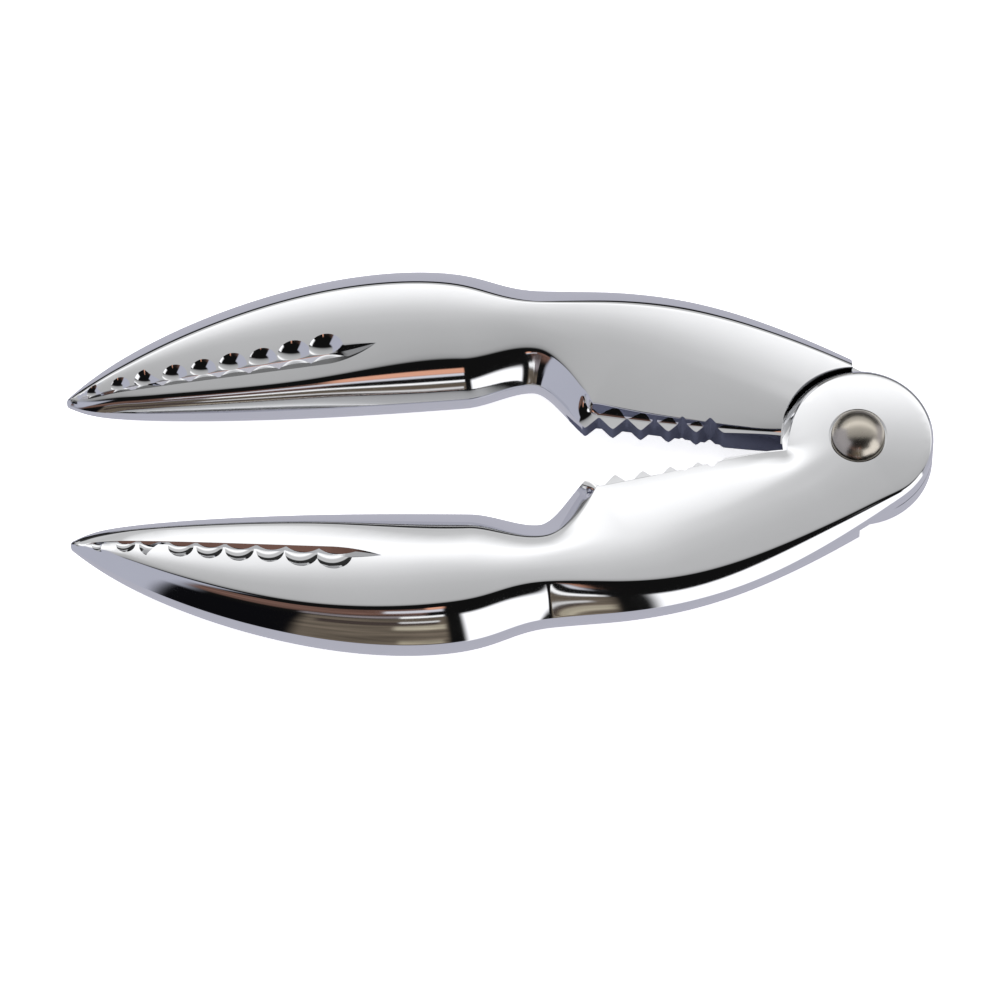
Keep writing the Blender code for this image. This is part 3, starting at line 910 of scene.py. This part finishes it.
def repeatTree(name):
    # Sets copies of one shape along a straight line, growing from the first to the last.
    tree = bpy.data.node_groups.new(name, "GeometryNodeTree")
    inputSocket(tree, "Shape", "NodeSocketObject", None)
    inputSocket(tree, "Count", "NodeSocketInt", 5)
    inputSocket(tree, "Start", "NodeSocketVector", (0, 0, 0))
    inputSocket(tree, "Step", "NodeSocketVector", (0, 0, 0))
    inputSocket(tree, "Bow", "NodeSocketVector", (0, 0, 0))
    inputSocket(tree, "First Size", "NodeSocketFloat", 1.0)
    inputSocket(tree, "Last Size", "NodeSocketFloat", 1.0)
    inputSocket(tree, "Material", "NodeSocketMaterial", None)
    tree.interface.new_socket(name="Geometry", in_out="OUTPUT", socket_type="NodeSocketGeometry")
    into = tree.nodes.new("NodeGroupInput")
    out = tree.nodes.new("NodeGroupOutput")
    line = tree.nodes.new("GeometryNodeMeshLine")
    link(tree, into, "Count", line, "Count")
    link(tree, into, "Start", line, "Start Location")
    link(tree, into, "Step", line, "Offset")
    index = tree.nodes.new("GeometryNodeInputIndex")
    less = tree.nodes.new("ShaderNodeMath")
    less.operation = "SUBTRACT"
    less.inputs[1].default_value = 1.0
    link(tree, into, "Count", less, 0)
    share = tree.nodes.new("ShaderNodeMath")
    share.operation = "DIVIDE"
    link(tree, index, "Index", share, 0)
    link(tree, less, "Value", share, 1)
    # the line bows by share * (1 - share), so it can follow an arched face
    rest = tree.nodes.new("ShaderNodeMath")
    rest.operation = "SUBTRACT"
    rest.inputs[0].default_value = 1.0
    link(tree, share, "Value", rest, 1)
    product = tree.nodes.new("ShaderNodeMath")
    product.operation = "MULTIPLY"
    link(tree, share, "Value", product, 0)
    link(tree, rest, "Value", product, 1)
    lift = tree.nodes.new("ShaderNodeVectorMath")
    lift.operation = "SCALE"
    link(tree, into, "Bow", lift, 0)
    link(tree, product, "Value", lift, "Scale")
    moved = tree.nodes.new("GeometryNodeSetPosition")
    link(tree, line, "Mesh", moved, "Geometry")
    link(tree, lift, "Vector", moved, "Offset")
    size = tree.nodes.new("ShaderNodeMix")
    size.data_type = "FLOAT"
    link(tree, share, "Value", size, 0)
    link(tree, into, "First Size", size, 2)
    link(tree, into, "Last Size", size, 3)
    shape = tree.nodes.new("GeometryNodeObjectInfo")
    link(tree, into, "Shape", shape, "Object")
    copies = tree.nodes.new("GeometryNodeInstanceOnPoints")
    link(tree, moved, "Geometry", copies, "Points")
    link(tree, shape, "Geometry", copies, "Instance")
    tree.links.new(size.outputs[0], copies.inputs["Scale"])
    real = tree.nodes.new("GeometryNodeRealizeInstances")
    link(tree, copies, "Instances", real, "Geometry")
    paint = tree.nodes.new("GeometryNodeSetMaterial")
    link(tree, real, "Geometry", paint, "Geometry")
    link(tree, into, "Material", paint, "Material")
    link(tree, paint, "Geometry", out, "Geometry")
    return tree


def repeated(tree, name, values):
    holder = newObject(name, bpy.data.meshes.new(name))
    modifier = holder.modifiers.new("repeat", "NODES")
    modifier.node_group = tree
    for item in tree.interface.items_tree:
        if item.in_out == "INPUT" and item.name in values:
            modifier[item.identifier] = values[item.name]
    bpy.context.view_layer.update()
    graph = bpy.context.evaluated_depsgraph_get()
    data = bpy.data.meshes.new_from_object(holder.evaluated_get(graph))
    holder.modifiers.clear()
    holder.data = data
    return holder


def toothGapShape():
    # One gap between teeth: a V with a small round bottom, flaring at the teeth's tips.
    depth, half, lip = teeth["depth"], teeth["halfWidth"], teeth["lip"]
    side = [
        (0.0, depth),
        (0.16, depth - 0.03),
        (0.32, depth - 0.14),
        (half - 0.42, 0.42),
        (half - 0.12, 0.19),
        (half + 0.2, 0.06),
        (half + lip, 0.0),
        (half + lip, -1.5),
    ]
    points = [(-x, y) for x, y in side[::-1]] + side[1:]
    return prism("toothGap", points, -14, 14)


def toothGaps(tree, chrome):
    shape = toothGapShape()
    first = teethStart + 0.5 * arm["toothPitch"]
    rise = math.tan(math.radians(arm["stopSlope"])) * arm["toothPitch"]
    tool = repeated(
        tree,
        "toothGaps",
        {
            "Shape": shape,
            "Count": arm["toothGaps"],
            "Start": (-first * mm, (toothLine(first)) * mm, 0.0),
            "Step": (-arm["toothPitch"] * mm, rise * mm, 0.0),
            "Material": chrome,
        },
    )
    bpy.data.objects.remove(shape)
    return tool


def grooveLine(side):
    start, end = np.array(grooves[side]["start"]), np.array(grooves[side]["end"])
    along = unit((end - start)[None])[0]
    return start, end, along, np.array((-along[1], along[0]))


def scoopShape(side):
    # A half bowl of one millimetre, standing out from the groove's bottom line.
    _, _, along, outward = grooveLine(side)
    deep, reach = grooves[side]["deep"], grooves[side]["reach"]
    profile = [(r, -deep * (1 - r**2)) for r in np.linspace(0.08, 1, 14)]
    profile.append((1.4, 0.8 * deep))
    mesh = bmesh.new()

    def corner(radius, turn, height):
        flat = along * radius * math.cos(turn) + outward * (reach * radius * math.sin(turn) - 0.04)
        return mesh.verts.new(Vector((flat[0], flat[1], side * height)) * mm)

    tip = corner(0, 0, -deep)
    spokes = [[corner(r, turn, z) for r, z in profile] for turn in np.linspace(0, math.pi, 33)]
    for before, after in zip(spokes, spokes[1:]):
        mesh.faces.new((tip, before[0], after[0]))
        for k in range(len(profile) - 1):
            mesh.faces.new((before[k], before[k + 1], after[k + 1], after[k]))
    mesh.faces.new([spoke[-1] for spoke in spokes])
    mesh.faces.new([tip] + spokes[-1] + spokes[0][::-1])
    bmesh.ops.recalc_face_normals(mesh, faces=mesh.faces)
    return meshObject("scoop", mesh)


def scoopSets(tree, shape, chrome, side):
    # Neighbouring scoops overlap, so every other one is cut in a pass of its own.
    start, end, _, _ = grooveLine(side)
    scoop = scoopShape(side)
    count = scallops["count"]
    share = np.linspace(0, 1, count)
    x = scallops["firstX"] + (scallops["lastX"] - scallops["firstX"]) * share
    x += scallops["bow"] * share * (1 - share)
    y = start[1] + (end[1] - start[1]) * (x - start[0]) / (end[0] - start[0])
    z = side * faceHeight(shape, np.column_stack([x, y]))
    size = scallops["firstSize"] + (scallops["lastSize"] - scallops["firstSize"]) * share
    tools = []
    for first in (0, 1):
        picks = list(range(first, count, 2))
        points = [Vector((x[k], y[k], z[k])) * mm for k in picks]
        middle = len(points) // 2
        along = middle / (len(points) - 1)
        bow = (points[middle] - points[0].lerp(points[-1], along)) / (along * (1 - along))
        tools.append(
            repeated(
                tree,
                "scoops",
                {
                    "Shape": scoop,
                    "Count": len(picks),
                    "Start": points[0],
                    "Step": (points[-1] - points[0]) / (len(points) - 1),
                    "Bow": bow,
                    "First Size": size[picks[0]],
                    "Last Size": size[picks[-1]],
                    "Material": chrome,
                },
            )
        )
    bpy.data.objects.remove(scoop)
    return tools


def grooveCutter(shape, side):
    # A trough with one plain sloping side; the scallops are bitten out of the other one.
    start, end, _, outward = grooveLine(side)
    deep = groove["deepShare"]
    shares = np.linspace(0, 1, 110)
    centres = start + (end - start) * shares[:, None]
    surface = faceHeight(shape, centres)
    mesh = bmesh.new()
    rows = []
    clear = groove["clear"]
    for share, point, top in zip(shares, centres, surface):
        grown = min(share / deep, 1)
        left = max(share - deep, 0) / (1 - deep)
        depth = groove["tipDepth"] + (groove["depth"] - groove["tipDepth"]) * grown
        depth = depth * (1 - left**2) - 0.1 * left**2 - 0.6 * max(0, 1 - share / 0.04)
        wall = depth + clear
        lean = groove["farLean"] + groove["endLean"] * min(left * 3, 1)
        corners = []
        for slope, height in ((-grooves[side]["slope"], clear), (0.0, -depth), (lean, clear)):
            place = point + outward * slope * wall
            z = side * (top + height)
            corners.append(mesh.verts.new((place[0] * mm, place[1] * mm, z * mm)))
        rows.append(corners)
    for before, after in zip(rows, rows[1:]):
        for index in range(3):
            follow = (index + 1) % 3
            mesh.faces.new((before[index], before[follow], after[follow], after[index]))
    mesh.faces.new(rows[0])
    mesh.faces.new(rows[-1])
    return meshObject("grooveCutter", mesh)


def makeCasting(chrome):
    shape, data = castingMesh()
    casting = newObject("clawCasting", data)
    tree = repeatTree("copiesAlongLine")
    cutAway(casting, recessCutter())
    far = hingeCuts["far"]
    cutAway(casting, prism("shankHole", circle(hingeCuts["shankHole"], 64), -far, far))
    seat = circle(hingeCuts["seatRadius"], 96)
    cutAway(casting, prism("rivetSeat", seat, -far, -hingeCuts["seatHeight"]))
    cutAway(casting, toothGaps(tree, chrome))
    for side in (1, -1):
        cutAway(casting, grooveCutter(shape, side))
        for tool in scoopSets(tree, shape, chrome, side):
            cutAway(casting, tool)
    print("casting cut:", len(casting.data.polygons), "faces")
    return casting


def finishedArm(casting, name, placing, chrome):
    data = casting.data.copy()
    data.transform(placing)
    piece = newObject(name, data)
    data.materials.clear()
    data.materials.append(chrome)
    data.shade_smooth()
    data.set_sharp_from_angle(angle=math.radians(arm["sharpAngle"]))
    return piece


def makeArms(chrome):
    casting = makeCasting(chrome)
    half = math.radians(arm["restHalfAngle"])
    there = Matrix.Translation(pivot)
    opened = Matrix.Rotation(-half, 4, "Z")
    upper = finishedArm(casting, "upper_claw_casting", there @ opened, chrome)
    # the lower arm is the same casting turned over
    turned = Matrix.Rotation(half, 4, "Z") @ Matrix.Rotation(math.pi, 4, "X")
    lower = finishedArm(casting, "lower_claw_casting", there @ turned, chrome)
    bpy.data.objects.remove(casting)
    for piece, node, body in ((upper, "upper_arm", "upper_claw"), (lower, "lower_arm", "lower_claw")):
        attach(piece, body)
        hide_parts(node)
    print("arms ready")


# ---- the rivet ----

rivet = {
    "headRadius": 5.75,
    "headHeight": 5.4,
    "skirt": 0.5,  # upright edge under the dome
    "shankRadius": 2.5,
    "seat": 5.65,  # underside of each head, from the middle
    "flatShare": 0.45,  # radius of the tail's flat, as a share of the head's
    "edgeRound": 0.15,
    "sharpAngle": 35.0,  # degrees
    "turns": 128,
}


def rivetProfile():
    base, radius, height = rivet["seat"], rivet["headRadius"], rivet["headHeight"]
    tail = (rivetHigh.z - rivetLow.z) / mm - base - height
    skirt = rivet["skirt"]
    points = [(0.0, base + height)]
    for step in range(1, 33):
        a = math.radians(90 * step / 32)
        points.append((radius * math.sin(a), base + skirt + (height - skirt) * math.cos(a)))
    soft = rivet["edgeRound"]
    points.append((radius, base + soft))
    points.append((radius - soft, base))
    points.append((rivet["shankRadius"], base))
    points.append((rivet["shankRadius"], -base))
    points.append((radius - soft, -base))
    points.append((radius, -base - soft))
    flat = math.asin(rivet["flatShare"])
    depth = (tail - base - skirt) / math.cos(flat)
    for step in range(25):
        a = math.pi / 2 - (math.pi / 2 - flat) * step / 24
        points.append((radius * math.sin(a), -base - skirt - depth * math.cos(a)))
    points.append((0.0, -tail))
    return points


def makeRivet(nickel):
    mesh = bmesh.new()
    vertices = [mesh.verts.new((x * mm, 0, z * mm)) for x, z in rivetProfile()]
    edges = [mesh.edges.new(pair) for pair in zip(vertices, vertices[1:])]
    bmesh.ops.spin(mesh, geom=vertices + edges, axis=(0, 0, 1), steps=rivet["turns"], angle=math.tau)
    bmesh.ops.remove_doubles(mesh, verts=mesh.verts, dist=0.000002)
    piece = meshObject("rivet_turned", mesh)
    piece.data.transform(Matrix.Translation(pivot))
    piece.data.materials.append(nickel)
    piece.data.shade_smooth()
    piece.data.set_sharp_from_angle(angle=math.radians(rivet["sharpAngle"]))
    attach(piece, "lower_claw")
    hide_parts("pivot_rivet")
    print("rivet ready")


makeStudio()
chromePlate = polishedMetal("chromePlate", chromeLook)
nickelRivet = polishedMetal("nickelRivet", nickelLook)
makeArms(chromePlate)
makeRivet(nickelRivet)
